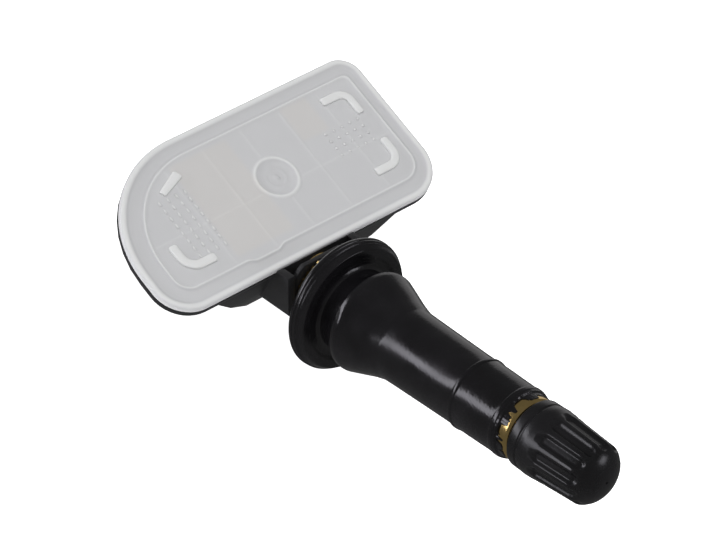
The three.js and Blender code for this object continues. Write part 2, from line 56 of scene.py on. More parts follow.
CAMERA_PLACE = Vector((152.88, -290.83, 451.8)) * MM
CAMERA_AIM = Vector((-10.22, 5.27, 7.4)) * MM
CAMERA_ROLL = math.radians(27.6)
CAMERA_LENS = 200.2


def aimed(place, aim, roll=0.0):
    turn = (aim - place).to_track_quat("-Z", "Y").to_matrix().to_4x4()
    return Matrix.Translation(place) @ turn @ Matrix.Rotation(roll, 4, "Z")


camera = bpy.data.objects.new("camera", bpy.data.cameras.new("camera"))
camera.data.lens = CAMERA_LENS
camera.data.clip_end = 10
camera.matrix_world = aimed(CAMERA_PLACE, CAMERA_AIM, CAMERA_ROLL)
bpy.context.scene.collection.objects.link(camera)
bpy.context.scene.camera = camera
bpy.context.scene.view_settings.view_transform = "Standard"

LIGHTS = {
    # name: (place, width, height, power, colour, seen in reflections)
    "overhead_box": ((-0.10, 0.05, 0.80), 0.8, 0.8, 6.2, (1.0, 1.0, 1.0), False),
    "low_box": ((-0.41, -0.42, 0.085), 0.55, 0.15, 1.25, (0.93, 0.92, 1.0), True),
    "key_box": ((0.25, -0.55, 0.40), 0.25, 0.25, 1.1, (1.0, 1.0, 1.0), False),
    "side_card": ((0.39, 0.34, 0.37), 0.22, 0.16, 0.35, (0.93, 0.92, 1.0), True),
    "far_card": ((-0.32, 0.48, -0.10), 0.5, 0.35, 0.26, (1.0, 0.98, 0.99), True),
}
for name, (place, width, height, power, colour, reflected) in LIGHTS.items():
    light = bpy.data.lights.new(name, "AREA")
    light.shape = "RECTANGLE"
    light.size, light.size_y = width, height
    light.energy = power
    light.color = colour
    lamp = bpy.data.objects.new(name, light)
    lamp.matrix_world = aimed(Vector(place), Vector((0, 0, 0.01)))
    lamp.visible_glossy = reflected
    lamp.visible_camera = False
    bpy.context.scene.collection.objects.link(lamp)

world = bpy.data.worlds.new("studio")
bpy.context.scene.world = world
world.use_nodes = True
world.node_tree.nodes["Background"].inputs["Color"].default_value = (1, 1, 1, 1)
world.node_tree.nodes["Background"].inputs["Strength"].default_value = 0.13


def node_adder(tree):
    """A function that adds a node to the tree and sets or links its inputs. An input goes by its label, with
    _ for a space, or by i and its number."""

    def add(kind, settings=(), **inputs):
        node = tree.nodes.new(kind)
        for key, value in dict(settings).items():
            setattr(node, key, value)
        for key, value in inputs.items():
            numbered = key[0] == "i" and key[1:].isdigit()
            socket = node.inputs[int(key[1:]) if numbered else key.replace("_", " ")]
            if isinstance(value, bpy.types.NodeSocket):
                tree.links.new(value, socket)
            else:
                socket.default_value = value
        return node

    return add


def graph(material):
    """A new material's node tree, its shader, and the function that adds nodes to it."""
    material.use_nodes = True
    tree = material.node_tree
    return tree, tree.nodes["Principled BSDF"], node_adder(tree)


FLOOR_HALF = 3.0
floor_mesh = bpy.data.meshes.new("floor")
floor_corners = [(x * FLOOR_HALF, y * FLOOR_HALF, 0) for x, y in ((-1, -1), (1, -1), (1, 1), (-1, 1))]
floor_mesh.from_pydata(floor_corners, [], [(0, 1, 2, 3)])
floor = bpy.data.objects.new("floor", floor_mesh)
bpy.context.scene.collection.objects.link(floor)
floor_paper = bpy.data.materials.new("floor_paper")
floor_shader = graph(floor_paper)[1]
floor_shader.inputs["Base Color"].default_value = (0.92, 0.92, 0.92, 1)
floor_shader.inputs["Roughness"].default_value = 0.9
floor_shader.inputs["Specular IOR Level"].default_value = 0.1
floor_shader.inputs["Emission Color"].default_value = (1, 1, 1, 1)
floor_shader.inputs["Emission Strength"].default_value = 1.0
floor_mesh.materials.append(floor_paper)
floor.visible_glossy = False

# ---- Housing shell -----------------------------------------------------------------------------
# Black glass-filled nylon hull, injection moulded in one shot with its lip and the cradle that holds
# the foot of the valve. Its skin has the fine grain of a spark-eroded mould and slightly eased edges.

HOUSING_EDGE = 0.16 * MM


def copy_of(node, name):
    """The CAD node's mesh as a new object whose loose triangles are joined into clean faces."""
    mesh = frame["nodes"][node].data.copy()
    mesh.name = name
    mesh.materials.clear()
    body = bmesh.new()
    body.from_mesh(mesh)
    bmesh.ops.remove_doubles(body, verts=body.verts, dist=0.002 * MM)
    bmesh.ops.dissolve_limit(body, angle_limit=math.radians(1.0), verts=body.verts, edges=body.edges)
    body.to_mesh(mesh)
    body.free()
    piece = bpy.data.objects.new(name, mesh)
    bpy.context.scene.collection.objects.link(piece)
    return piece


def eased(piece, width, segments=2, angle=32):
    """Rounds the edges sharper than angle, and shades the rest smooth."""
    bevel = piece.modifiers.new("eased_edges", "BEVEL")
    bevel.width = width
    bevel.segments = segments
    bevel.limit_method = "ANGLE"
    bevel.angle_limit = math.radians(angle)
    bevel.use_clamp_overlap = True
    bevel.harden_normals = False
    depsgraph = bpy.context.evaluated_depsgraph_get()
    finished = bpy.data.meshes.new_from_object(piece.evaluated_get(depsgraph))
    piece.modifiers.clear()
    piece.data = finished
    shade(piece, angle)
    return piece


def shade(piece, angle=35):
    piece.data.polygons.foreach_set("use_smooth", [True] * len(piece.data.polygons))
    piece.data.set_sharp_from_angle(angle=math.radians(angle))


def moulded_plastic(name, colour, roughness, grain=0.05, grain_size=0.25, mottling=0.25, unevenness=0.15):
    """Moulded plastic or rubber: a slightly mottled colour, uneven gloss, and a fine grain."""
    material = bpy.data.materials.new(name)
    tree, shader, add = graph(material)
    where = add("ShaderNodeTexCoord").outputs["Object"]
    cloud = add("ShaderNodeTexNoise", Vector=where, Scale=180.0, Detail=4.0)
    shades = add("ShaderNodeValToRGB", Fac=cloud.outputs["Fac"])
    dark = [c * (1 - mottling) for c in colour]
    light = [min(1.0, c * (1 + mottling)) for c in colour]
    shades.color_ramp.elements[0].position = 0.3
    shades.color_ramp.elements[0].color = (*dark, 1)
    shades.color_ramp.elements[1].position = 0.7
    shades.color_ramp.elements[1].color = (*light, 1)
    tree.links.new(shades.outputs["Color"], shader.inputs["Base Color"])
    gloss = add("ShaderNodeMapRange", Value=cloud.outputs["Fac"])
    gloss.inputs["From Min"].default_value = 0.3
    gloss.inputs["From Max"].default_value = 0.7
    gloss.inputs["To Min"].default_value = roughness * (1 - unevenness)
    gloss.inputs["To Max"].default_value = min(1.0, roughness * (1 + unevenness))
    tree.links.new(gloss.outputs["Result"], shader.inputs["Roughness"])
    fine = add("ShaderNodeTexNoise", Vector=where, Scale=1.0 / (grain_size * MM), Detail=3.0)
    bump = add("ShaderNodeBump", Strength=0.6, Distance=grain * MM, Height=fine.outputs["Fac"])
    tree.links.new(bump.outputs["Normal"], shader.inputs["Normal"])
    return material


housing = eased(copy_of("housing_shell", "housing_moulding"), HOUSING_EDGE)
housing_nylon = moulded_plastic("black_glass_filled_nylon", (0.016, 0.016, 0.017), 0.42, 0.03, 0.22)
housing.data.materials.append(housing_nylon)
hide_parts("housing_shell")
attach(housing, "sensor_and_valve")

# ---- Parts sealed inside the housing -----------------------------------------------------------
# Green laminate board with its chip, antenna coil, crystal and capacitors, and the lithium cell under
# it with its two welded tabs. They are placed by machine, soldered and potted before the cover goes on.

SEALED_EDGE = 0.06 * MM


def metal(name, colour, roughness, ring_size=0.12, tarnish=0.2, tarnish_colour=None):
    """Bare metal with fine turning or drawing marks and a cloudy tarnish."""
    material = bpy.data.materials.new(name)
    tree, shader, add = graph(material)
    where = add("ShaderNodeTexCoord").outputs["Object"]
    cloud = add("ShaderNodeTexNoise", Vector=where, Scale=420.0, Detail=5.0)
    stain = add("ShaderNodeMapRange", Value=cloud.outputs["Fac"])
    stain.inputs["From Min"].default_value = 0.42
    stain.inputs["From Max"].default_value = 0.75
    stain.inputs["To Max"].default_value = tarnish
    dull = tarnish_colour or tuple(c * 0.35 for c in colour)
    mix = add("ShaderNodeMix", {"data_type": "RGBA"}, Factor=stain.outputs["Result"], i6=(*colour, 1),
              i7=(*dull, 1))
    tree.links.new(mix.outputs[2], shader.inputs["Base Color"])
    shader.inputs["Metallic"].default_value = 1.0
    gloss = add("ShaderNodeMapRange", Value=cloud.outputs["Fac"])
    gloss.inputs["To Min"].default_value = roughness * 0.7
    gloss.inputs["To Max"].default_value = min(1.0, roughness * 1.5)
    tree.links.new(gloss.outputs["Result"], shader.inputs["Roughness"])
    fine = add("ShaderNodeTexNoise", Vector=where, Scale=1.0 / (ring_size * MM), Detail=2.0)
    bump = add("ShaderNodeBump", Strength=0.35, Distance=0.01 * MM, Height=fine.outputs["Fac"])
    tree.links.new(bump.outputs["Normal"], shader.inputs["Normal"])
    return material


SEALED = {
    "board_laminate": moulded_plastic("green_solder_mask", (0.06, 0.20, 0.05), 0.35, 0.01, 0.5),
    "moulded_epoxy": moulded_plastic("chip_epoxy", (0.02, 0.02, 0.02), 0.5, 0.01, 0.1),
    "clear_silicone": moulded_plastic("port_silicone", (0.6, 0.6, 0.57), 0.4, 0.01, 0.5),
    "ferrite": moulded_plastic("ground_ferrite", (0.05, 0.05, 0.055), 0.55, 0.02, 0.15),
    "capacitor_ceramic": moulded_plastic("fired_ceramic", (0.40, 0.28, 0.16), 0.45, 0.01, 0.1),
    "gasket_polymer": moulded_plastic("red_gasket", (0.42, 0.06, 0.03), 0.4, 0.01, 0.3),
    "seal_rubber": moulded_plastic("seal_rubber", (0.012, 0.012, 0.012), 0.55, 0.02, 0.2),
    "enamelled_copper": metal("enamelled_copper", (0.60, 0.24, 0.10), 0.25),
    "nickel_steel": metal("nickel_plated_steel", (0.60, 0.58, 0.54), 0.22, tarnish=0.1),
    "spring_steel": metal("spring_wire", (0.45, 0.45, 0.46), 0.25, tarnish=0.1),
    "valve_brass": metal("turned_brass", (0.76, 0.55, 0.22), 0.17, tarnish=0.35,
                         tarnish_colour=(0.34, 0.22, 0.08)),
}
node_slots = {s["node"]: s["material_slot"] for s in frame["record"]["subparts"]}
SEALED_NODES = (
    "circuit_board", "pressure_sensor_chip", "port_seal", "antenna_coil_core", "antenna_coil_winding",
    "crystal_can", "capacitor_1", "capacitor_2", "capacitor_3", "capacitor_4", "radio_antenna", "battery_can",
    "battery_lid", "battery_tab_negative", "battery_tab_positive",
)


def finished_copy(node, edge, body="sensor_and_valve"):
    """The CAD node with eased edges and its slot's finish, riding on the node's body."""
    piece = eased(copy_of(node, node + "_finished"), edge)
    piece.data.materials.append(SEALED[node_slots[node]])
    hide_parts(node)
    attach(piece, body)
    return piece


for node in SEALED_NODES:
    finished_copy(node, SEALED_EDGE)

# ---- Cover plate -------------------------------------------------------------------------------
# Natural nylon plate, frosted and a little translucent, welded on the lip. Moulded with a round bead
# along its rim, a sunk band, a fine line, a round gate mark, and faint ribs under its middle.

cover_low, cover_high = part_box("cover_plate")
COVER_X = (cover_low.x + cover_high.x) / 2
COVER_HALF_X = (cover_high.x - cover_low.x) / 2
COVER_HALF_Y = (cover_high.y - cover_low.y) / 2
COVER_BASE = cover_low.z
COVER_THICK = 0.92 * MM
NEAR_CORNER = 6.5 * MM
FAR_CORNER = 3.4 * MM
SWEPT_CORNER = 17.0 * MM
SWEPT_END_CORNER = 5.5 * MM
PANEL_DROP = 0.16 * MM
PANEL_LEVEL = COVER_BASE + COVER_THICK - PANEL_DROP
GATE = Vector((0.0, 2.27 * MM))
GATE_RADIUS = 3.2 * MM
RIB_PITCH = 7.0 * MM
RIB_SIDE_LINE = 1.5 * MM
JOG_DEPTH = 0.55 * MM
JOG_FROM = -10.2 * MM
JOG_TO = -3.4 * MM
JOG_SLOPE = 1.6 * MM
JOG_REACH = 5.0 * MM
# how much farther in than its usual inset the fine line runs on the valve's side, the square end, the far
# side and the swept end
LINE_SHIFT = (0.15 * MM, -0.45 * MM, -0.05 * MM, 0.6 * MM)


def rim_points(inset, line_share=0.0):
    """One ring of points round the cover, inset inwards, starting at the square end on the valve's side.
    Every ring has the same number of points. Relative to the cover's middle."""
    right, top, left, bottom = (inset + shift * line_share for shift in LINE_SHIFT)
    x1, y1, x0, y0 = COVER_HALF_X - right, COVER_HALF_Y - top, -COVER_HALF_X + left, -COVER_HALF_Y + bottom
    near = max(NEAR_CORNER - inset, 2.2 * MM)
    far = max(FAR_CORNER - inset, 1.0 * MM)
    swept = SWEPT_CORNER - inset
    swept_end = max(SWEPT_END_CORNER - inset, 2.2 * MM)
    corners = (
        # centre, radius, angle at which its arc starts, steps round the arc
        (x1 - near, y1 - near, near, 0, 24),
        (x0 + far, y1 - far, far, 90, 16),
        (x0 + swept, y0 + swept, swept, 180, 60),
        (x1 - swept_end, y0 + swept_end, swept_end, 270, 24),
    )
    edge_steps = (24, 34, 10, 76)
    points = []
    for i, (cx, cy, radius, start, count) in enumerate(corners):
        for k in range(count + 1):
            angle = math.radians(start + 90 * k / count)
            points.append(Vector((cx + radius * math.cos(angle), cy + radius * math.sin(angle))))
        nx, ny, nr, ns, _ = corners[(i + 1) % 4]
        angle = math.radians(ns)
        following = Vector((nx + nr * math.cos(angle), ny + nr * math.sin(angle)))
        last = points[-1]
        points += [last.lerp(following, k / edge_steps[i]) for k in range(1, edge_steps[i])]
    return points


def hump(t):
    """A smooth hump: 0 at t = -1 and 1, and 1 in the middle."""
    return 0.0 if abs(t) >= 1 else (0.5 + 0.5 * math.cos(math.pi * t))


def step_up(t):
    """A smooth step from 0 at t = 0 to 1 at t = 1."""
    t = min(1.0, max(0.0, t))
    return t * t * (3 - 2 * t)


def line_jog(point):
    """How far the fine line steps towards the valve where the foot's cradle lies under it."""
    if point.x < COVER_HALF_X - JOG_REACH:
        return 0.0
    return JOG_DEPTH * step_up((point.y - JOG_FROM) / JOG_SLOPE) * step_up((JOG_TO - point.y) / JOG_SLOPE)


GATE_DISH_DEPTH = 0.22 * MM
GATE_DISH_SLOPE = 1.1 * MM
GATE_RIDGES = (
    # radius, height and half width of the mark's rim, of the ring in its dish, and of the stub
    (GATE_RADIUS, 0.13 * MM, 0.45 * MM),
    (1.5 * MM, 0.05 * MM, 0.35 * MM),
    (0.0, 0.2 * MM, 0.7 * MM),
)
FAINT_RIB_HEIGHT = 0.03 * MM
FAINT_RIB_HALF = 0.3 * MM


def panel_height(x, y):
    """Height of the panel's top above its own level, with the gate mark and the faint ribs."""
    r = math.hypot(x - GATE.x, y - GATE.y)
    if r < GATE_RADIUS + 0.6 * MM:
        height = -GATE_DISH_DEPTH * step_up((GATE_RADIUS - r) / GATE_DISH_SLOPE)
        for radius, rise, half_width in GATE_RIDGES:
            height += rise * hump((r - radius) / half_width)
        return height
    height = FAINT_RIB_HEIGHT * hump((x - GATE.x - RIB_SIDE_LINE) / FAINT_RIB_HALF)
    for k in range(-2, 3):
        height += FAINT_RIB_HEIGHT * hump((y - GATE.y - k * RIB_PITCH) / FAINT_RIB_HALF)
    return height


RIM_PROFILE = (
    # inset, height below the bead's crown, both in mm
    (1.2, 0.92), (0.2, 0.92), (0.03, 0.84), (0.0, 0.7), (0.0, 0.42), (0.06, 0.24), (0.18, 0.1), (0.36, 0.02),
    (0.56, 0.0), (0.76, 0.02), (0.95, 0.09), (1.12, 0.2), (1.28, 0.29), (1.5, 0.335), (1.9, 0.34),
    (2.4, 0.34), (2.62, 0.33), (2.76, 0.27), (2.88, 0.16), (2.98, 0.08), (3.08, 0.05), (3.18, 0.08),
    (3.26, 0.13), (3.35, 0.16),
)
# from this inset on, and over this spread, the rings leave the plate's outline for the fine line's, in mm
LINE_FROM = 1.4
LINE_SPREAD = 1.2
PANEL_SPACING = 0.55 * MM
RIB_SPACING = 0.15 * MM
RIB_CLEAR = 0.5 * MM
GATE_SPACING = 0.16 * MM
GATE_RINGS = 24


def close_to_ribs(ribs, reach):
    """Places for points along one axis: close together over each rib, and PANEL_SPACING apart elsewhere."""
    places = {round(rib + k * RIB_SPACING, 8) for rib in ribs for k in range(-2, 3)}
    plain = (round(k * PANEL_SPACING, 8) for k in range(-reach, reach + 1))
    places |= {place for place in plain if min(abs(place - rib) for rib in ribs) > RIB_CLEAR}
    return sorted(places)


def panel_points(edge):
    """Points of the panel inside its edge: rings round the gate mark, and rows that follow the faint ribs."""
    points = []
    for step in range(1, GATE_RINGS + 1):
        r = step * GATE_SPACING
        sides = max(12, min(72, step * 8))
        for k in range(sides):
            angle = 2 * math.pi * k / sides
            points.append(GATE + Vector((r * math.cos(angle), r * math.sin(angle))))
    points.append(GATE.copy())
    low, high = min(p.y for p in edge) + 0.3 * MM, max(p.y for p in edge) - 0.3 * MM
    clear_of_gate = (GATE_RINGS + 0.8) * GATE_SPACING
    for y in close_to_ribs([GATE.y + m * RIB_PITCH for m in range(-3, 3)], 48):
        crossings = [a.x + (b.x - a.x) * (y - a.y) / (b.y - a.y)
                     for a, b in zip(edge, edge[1:] + edge[:1]) if (a.y > y) != (b.y > y)]
        if len(crossings) < 2 or not low <= y <= high:
            continue
        left, right = min(crossings) + 0.35 * MM, max(crossings) - 0.35 * MM
        for x in close_to_ribs([GATE.x + RIB_SIDE_LINE], 24):
            if left < x < right and math.hypot(x - GATE.x, y - GATE.y) > clear_of_gate:
                points.append(Vector((x, y)))
    return points


def closed_mesh(name, vertices, faces, joined=0.0):
    """A mesh of these faces with its normals outward, and vertices closer than joined made one."""
    mesh = bpy.data.meshes.new(name)
    mesh.from_pydata(vertices, [], faces)
    body = bmesh.new()
    body.from_mesh(mesh)
    if joined:
        bmesh.ops.remove_doubles(body, verts=body.verts, dist=joined)
    bmesh.ops.recalc_face_normals(body, faces=body.faces)
    body.to_mesh(mesh)
    body.free()
    return mesh


def cover_mesh():
    """The plate: rings of points down its rim and over the bead and the fine line, then the filled panel."""
    top = COVER_BASE + COVER_THICK
    vertices, faces, rings = [], [], []
    for inset, drop in RIM_PROFILE:
        ring = []
        line_share = step_up((inset - LINE_FROM) / LINE_SPREAD)
        for point in rim_points(inset * MM, line_share):
            ring.append(len(vertices))
            vertices.append(Vector((point.x + line_jog(point) * line_share, point.y, top - drop * MM)))
        rings.append(ring)
    count = len(rings[0])
    for a, b in zip(rings, rings[1:]):
        for i in range(count):
            k = (i + 1) % count
            faces.append((a[i], a[k], b[k], b[i]))
    faces.append(tuple(reversed(rings[0])))
    edge = [vertices[i].to_2d() for i in rings[-1]]
    loop = [(i, (i + 1) % count) for i in range(count)]
    flat = geometry.delaunay_2d_cdt(edge + panel_points(edge), loop, [], 1, 1e-7)
    index = []
    for i, point in enumerate(flat[0]):
        source = flat[3][i]
        if source and source[0] < count:
            index.append(rings[-1][source[0]])
        else:
            index.append(len(vertices))
            vertices.append(Vector((point.x, point.y, PANEL_LEVEL + panel_height(point.x, point.y))))
    faces += [tuple(index[i] for i in face) for face in flat[2]]
    return closed_mesh("cover_moulding", [(v.x + COVER_X, v.y, v.z) for v in vertices], faces)


cover = bpy.data.objects.new("cover_moulding", cover_mesh())
bpy.context.scene.collection.objects.link(cover)
shade(cover, 60)


# Painted highlight, partly real: near the plate's top the nylon is painted paler, partly for the thicker nylon of
# the bead's crown and partly for the light the raised crowns catch.
CROWN_THICKNESS_AND_HIGHLIGHT_RISE = 0.17 * MM
CROWN_THICKNESS_AND_HIGHLIGHT_COLOUR = (0.66, 0.665, 0.66, 1)
WARM_COLOUR = (0.60, 0.55, 0.48, 1)
WARM_BLUR = 0.5 * MM


def natural_nylon(name, colour, warm_fields=()):
    """Frosted natural nylon, whose highest parts are painted paler, partly for the thicker nylon there and
    partly as painted highlight. warm_fields are boxes (x low, x high, y low, y high, strength), in mm from the
    cover's middle, where pale parts behind the plate warm its colour."""
    material = bpy.data.materials.new(name)
    tree, shader, add = graph(material)
    where = add("ShaderNodeTexCoord").outputs["Object"]
    cloud = add("ShaderNodeTexNoise", Vector=where, Scale=90.0, Detail=3.0)
    milk = add("ShaderNodeMix", {"data_type": "RGBA"}, Factor=cloud.outputs["Fac"],
               i6=(*[c * 0.97 for c in colour], 1), i7=(*[min(1, c * 1.03) for c in colour], 1)).outputs[2]
    axes = add("ShaderNodeSeparateXYZ", Vector=where)
    # Painted highlight: everything within this rise of the plate's top (the bead's crown, the gate mark, the tops
    # of the raised marks) is mixed towards a set pale colour, partly for the thicker nylon and partly for the
    # light these raised parts catch.
    thickness_and_highlight = add("ShaderNodeMapRange", Value=axes.outputs["Z"])
    thickness_and_highlight.inputs["From Min"].default_value = COVER_BASE + COVER_THICK - CROWN_THICKNESS_AND_HIGHLIGHT_RISE
    thickness_and_highlight.inputs["From Max"].default_value = COVER_BASE + COVER_THICK
    milk = add("ShaderNodeMix", {"data_type": "RGBA"}, Factor=thickness_and_highlight.outputs["Result"], i6=milk,
               i7=CROWN_THICKNESS_AND_HIGHLIGHT_COLOUR).outputs[2]
    for x0, x1, y0, y1, strength in warm_fields:
        mask = None
        for socket, low, high in ((axes.outputs["X"], x0 * MM + COVER_X, x1 * MM + COVER_X),
                                  (axes.outputs["Y"], y0 * MM, y1 * MM)):
            for edge, rising in ((low, True), (high, False)):
                step = add("ShaderNodeMapRange", {"interpolation_type": "SMOOTHSTEP"}, Value=socket)
                step.inputs["From Min"].default_value = edge - WARM_BLUR
                step.inputs["From Max"].default_value = edge + WARM_BLUR
                step.inputs["To Min"].default_value = 0.0 if rising else 1.0
                step.inputs["To Max"].default_value = 1.0 if rising else 0.0
                inside = step.outputs["Result"]
                if mask is not None:
                    inside = add("ShaderNodeMath", {"operation": "MULTIPLY"}, i0=mask, i1=inside).outputs[0]
                mask = inside
        amount = add("ShaderNodeMath", {"operation": "MULTIPLY"}, i0=mask, i1=strength)
        milk = add("ShaderNodeMix", {"data_type": "RGBA"}, Factor=amount.outputs[0], i6=milk,
                   i7=WARM_COLOUR).outputs[2]
    tree.links.new(milk, shader.inputs["Base Color"])
    shader.inputs["Roughness"].default_value = 0.42
    shader.inputs["Subsurface Weight"].default_value = 0.25
    shader.inputs["Subsurface Radius"].default_value = (1.0, 1.0, 1.0)
    shader.inputs["Subsurface Scale"].default_value = 0.6 * MM
    fine = add("ShaderNodeTexNoise", Vector=where, Scale=2600.0, Detail=3.0)
    bump = add("ShaderNodeBump", Strength=0.3, Distance=0.02 * MM, Height=fine.outputs["Fac"])
    tree.links.new(bump.outputs["Normal"], shader.inputs["Normal"])
    return material


cover_nylon = natural_nylon("natural_nylon", (0.515, 0.517, 0.525), (
    (-8.5, 8.0, -10.9, -0.7, 0.2), (-9.0, -3.0, 9.6, 14.4, 0.2)))
cover.data.materials.append(cover_nylon)
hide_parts("cover_plate")
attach(cover, "sensor_and_valve")

# ---- Corner ribs of the cover ------------------------------------------------------------------
# Four short raised ribs near the cover's corners, moulded with it. They are painted paler than the plate,
# partly for their thicker nylon and partly as painted highlight. Three turn a corner; the one beside the swept
# corner is straight.

RIB_HEIGHT = 0.37 * MM
RIB_SUNK = 0.2 * MM
# how far a rib's rounded end reaches past its line, and how wide and high it is there
RIB_END = 0.22 * MM
RIB_END_WIDTH = 0.72
RIB_END_HEIGHT = 0.86
CORNER_RIBS = (
    # points of each rib's centre line from the cover's middle, the radius of its bend, and its width at both
    # ends, in mm
    (((-7.0, 16.2), (-7.0, 20.3), (-3.2, 20.3)), 1.6, 1.3, 1.2),
    (((2.2, 20.4), (6.2, 20.4), (6.2, 16.0)), 2.0, 1.2, 1.3),
    (((2.5, -18.4), (6.5, -18.4), (6.5, -14.0)), 2.2, 1.35, 1.4),
    (((-5.3, -14.2), (-6.9, -10.5)), 0.0, 1.1, 1.5),
)


def bent_line(points, radius, steps=10):
    """The centre line with its bend rounded."""
    line = [Vector(p) * MM for p in points]
    if len(line) == 2:
        return [line[0].lerp(line[1], k / 8) for k in range(9)]
    start, corner, end = line
    a, b = (start - corner).normalized(), (end - corner).normalized()
    centre = corner + (a + b) * radius * MM
    first, last = corner + a * radius * MM, corner + b * radius * MM
    arc = []
    for k in range(steps + 1):
        t = k / steps * math.pi / 2
        arc.append(centre - b * radius * MM * math.cos(t) - a * radius * MM * math.sin(t))
    return [start.lerp(first, k / 4) for k in range(4)] + arc + [last.lerp(end, k / 4) for k in range(1, 5)]


def rib_mesh(name, line, first_width, last_width):
    """A bar with a rounded top and rounded ends along the line, its foot sunk in the plate."""
    base = PANEL_LEVEL - RIB_SUNK
    crown = PANEL_LEVEL + RIB_HEIGHT
    half_section = [(0.5, 0.0), (0.5, 0.72), (0.44, 0.88), (0.32, 0.97), (0.12, 1.0)]
    section = [(-across, up) for across, up in half_section] + half_section[::-1]
    body = bmesh.new()
    tangents = []
    for i in range(len(line)):
        tangents.append((line[min(i + 1, len(line) - 1)] - line[max(i - 1, 0)]).normalized())
    widths = [(first_width + (last_width - first_width) * i / (len(line) - 1)) * MM for i in range(len(line))]
    first, last = line[0] - tangents[0] * RIB_END, line[-1] + tangents[-1] * RIB_END
    stations = [(first, tangents[0], widths[0] * RIB_END_WIDTH, RIB_END_HEIGHT)]
    stations += [(p, t, w, 1.0) for p, t, w in zip(line, tangents, widths)]
    stations += [(last, tangents[-1], widths[-1] * RIB_END_WIDTH, RIB_END_HEIGHT)]
    rows = []
    for point, tangent, wide, high in stations:
        side = Vector((-tangent.y, tangent.x))
        row = []
        for across, up in section:
            place = point + side * across * wide
            row.append(body.verts.new((place.x + COVER_X, place.y, base + (crown - base) * up * high)))
        rows.append(row)
    for a, b in zip(rows, rows[1:]):
        for i in range(len(section)):
            k = (i + 1) % len(section)
            body.faces.new((a[i], a[k], b[k], b[i]))
    body.faces.new(rows[0])
    body.faces.new(list(reversed(rows[-1])))
    bmesh.ops.recalc_face_normals(body, faces=body.faces)
    mesh = bpy.data.meshes.new(name)
    body.to_mesh(mesh)
    body.free()
    return mesh


# Painted highlight, partly real: the ribs get a paler copy of the plate's nylon, partly for their thicker nylon
# and partly for the light their raised shape catches.
rib_nylon_thickness_and_highlight = natural_nylon("natural_nylon_thick_and_highlight", (0.80, 0.80, 0.79))
for number, (points, radius, first_width, last_width) in enumerate(CORNER_RIBS, 1):
    rib_name = f"cover_rib_{number}"
    rib_bar = rib_mesh(rib_name, bent_line(points, radius), first_width, last_width)
    rib = bpy.data.objects.new(rib_name, rib_bar)
    bpy.context.scene.collection.objects.link(rib)
    shade(rib, 50)
    rib.data.materials.append(rib_nylon_thickness_and_highlight)
    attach(rib, "sensor_and_valve")

# ---- Moulded marks of the cover ----------------------------------------------------------------
# A block of small raised dashes at the swept end and a block of pips at the square end. They are cut in
# the mould, so they stand on the plate in the same nylon.


def node_group(name, sizes):
    """A geometry node tree with an input for each size, and the functions that add its nodes and close it."""
    tree = bpy.data.node_groups.new(name, "GeometryNodeTree")
    tree.interface.new_socket("Geometry", in_out="OUTPUT", socket_type="NodeSocketGeometry")
    tree.interface.new_socket("Geometry", in_out="INPUT", socket_type="NodeSocketGeometry")
    for size, value in sizes.items():
        kind = "NodeSocketInt" if isinstance(value, int) else "NodeSocketFloat"
        tree.interface.new_socket(size, in_out="INPUT", socket_type=kind)
    tree.interface.new_socket("Finish", in_out="INPUT", socket_type="NodeSocketMaterial")
    given = tree.nodes.new("NodeGroupInput").outputs
    add = node_adder(tree)

    def close(geometry_socket):
        real = add("GeometryNodeRealizeInstances", Geometry=geometry_socket)
        finish = add("GeometryNodeSetMaterial", Geometry=real.outputs[0], Material=given["Finish"])
        result = tree.nodes.new("NodeGroupOutput")
        tree.links.new(finish.outputs[0], result.inputs[0])

    return tree, given, add, close


def grown(name, tree, sizes, finish, base=None):
    """The plain mesh that the node tree makes with these sizes, from the base mesh if there is one."""
    holder = bpy.data.objects.new(name + "_holder", base or bpy.data.meshes.new(name + "_base"))
    bpy.context.scene.collection.objects.link(holder)
    modifier = holder.modifiers.new(name, "NODES")
    modifier.node_group = tree
    for item in tree.interface.items_tree:
        if item.in_out == "INPUT" and item.name in sizes:
            modifier[item.identifier] = sizes[item.name]
        if item.in_out == "INPUT" and item.name == "Finish":
            modifier[item.identifier] = finish
    holder.update_tag()
    depsgraph = bpy.context.evaluated_depsgraph_get()
    mesh = bpy.data.meshes.new_from_object(holder.evaluated_get(depsgraph))
    mesh.name = name
    bpy.data.objects.remove(holder)
    return mesh


def mark_tree():
    """A block of low, soft-edged marks in rows and columns."""
    sizes = {"Columns": 1, "Rows": 1, "Step X": 1.0, "Step Y": 1.0, "Length": 1.0, "Width": 1.0,
             "Height": 1.0, "Centre X": 0.0, "Centre Y": 0.0, "Level": 0.0}
    tree, given, add, close = node_group("block_of_marks", sizes)

    def maths(operation, a, b):
        return add("ShaderNodeMath", {"operation": operation}, i0=a, i1=b).outputs[0]

    across = maths("MULTIPLY", maths("SUBTRACT", given["Columns"], 1.0), given["Step X"])
    along = maths("MULTIPLY", maths("SUBTRACT", given["Rows"], 1.0), given["Step Y"])
    grid = add("GeometryNodeMeshGrid", Size_X=across, Size_Y=along, Vertices_X=given["Columns"],
               Vertices_Y=given["Rows"])
    drop = add("GeometryNodeMeshUVSphere", Segments=12, Rings=6, Radius=0.5)
    shape = add("ShaderNodeCombineXYZ", X=given["Length"], Y=given["Width"], Z=given["Height"])
    block = add("GeometryNodeInstanceOnPoints", Points=grid.outputs["Mesh"], Instance=drop.outputs["Mesh"],
                Scale=shape.outputs[0])
    centre = add("ShaderNodeCombineXYZ", X=given["Centre X"], Y=given["Centre Y"], Z=given["Level"])
    placed = add("GeometryNodeTransform", Geometry=block.outputs[0], Translation=centre.outputs[0])
    close(placed.outputs[0])
    return tree


